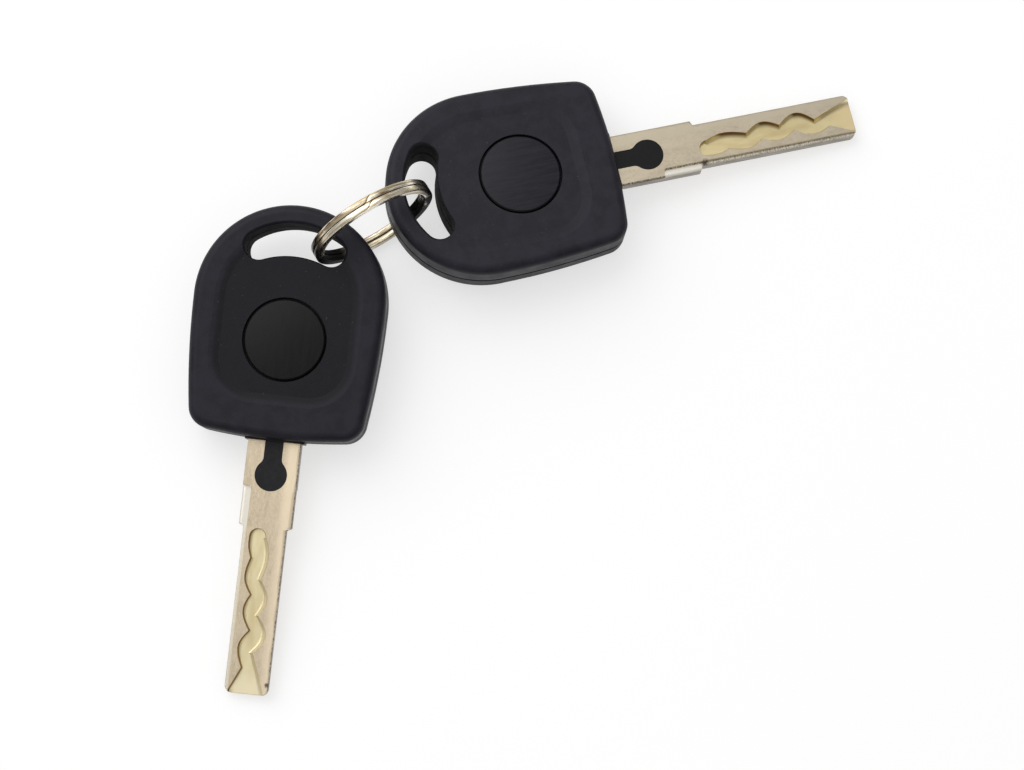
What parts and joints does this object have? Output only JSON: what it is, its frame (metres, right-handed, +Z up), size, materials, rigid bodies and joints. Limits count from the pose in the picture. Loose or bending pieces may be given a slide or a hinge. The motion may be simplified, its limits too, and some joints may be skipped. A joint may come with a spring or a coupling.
{
  "type": "car keys on split ring",
  "caption": "Car keys with moulded plastic heads and flat milled steel blades, linked through their head slots by a split ring.",
  "frame": {"origin": "on the table, under the middle of the pair's outline seen from above", "axes": "+Z up from the table; +X to the right and +Y away from the viewer as the picture looks down; key A's blade points towards -Y and key B's towards +X"},
  "size_m": [0.1164, 0.107, 0.0231],
  "materials": {
    "head_plastic": "fine-grained matte black moulding",
    "badge_plastic": "smooth satin black disc",
    "carrier_plastic": "smooth black moulding",
    "chip_casing": "dark moulded capsule",
    "blade_steel": "satin nickel plate, milled bright in the cuts",
    "ring_steel": "bright nickel plate"
  },
  "bodies": {
    "ring": {"split_ring": "ring_steel"},
    "key_a": {"key_a_head_front_shell": "head_plastic", "key_a_head_rear_shell": "head_plastic", "key_a_badge_disc": "badge_plastic", "key_a_blade": "blade_steel", "key_a_blade_carrier": "carrier_plastic", "key_a_transponder_chip": "chip_casing"},
    "key_b": {"key_b_head_front_shell": "head_plastic", "key_b_head_rear_shell": "head_plastic", "key_b_badge_disc": "badge_plastic", "key_b_blade": "blade_steel", "key_b_blade_carrier": "carrier_plastic", "key_b_transponder_chip": "chip_casing"}
  },
  "joints": [
    {"name": "key_a_swing", "type": "hinge", "parent": "ring", "child": "key_a", "pos_m": [-0.03499, 0.02241, 0.00852], "axis": [0, 0, 1], "range_deg": [-60, 20]},
    {"name": "key_b_swing", "type": "hinge", "parent": "ring", "child": "key_b", "pos_m": [-0.01799, 0.03166, 0.00859], "axis": [0, 0, 1], "range_deg": [-20, 55]}
  ]
}
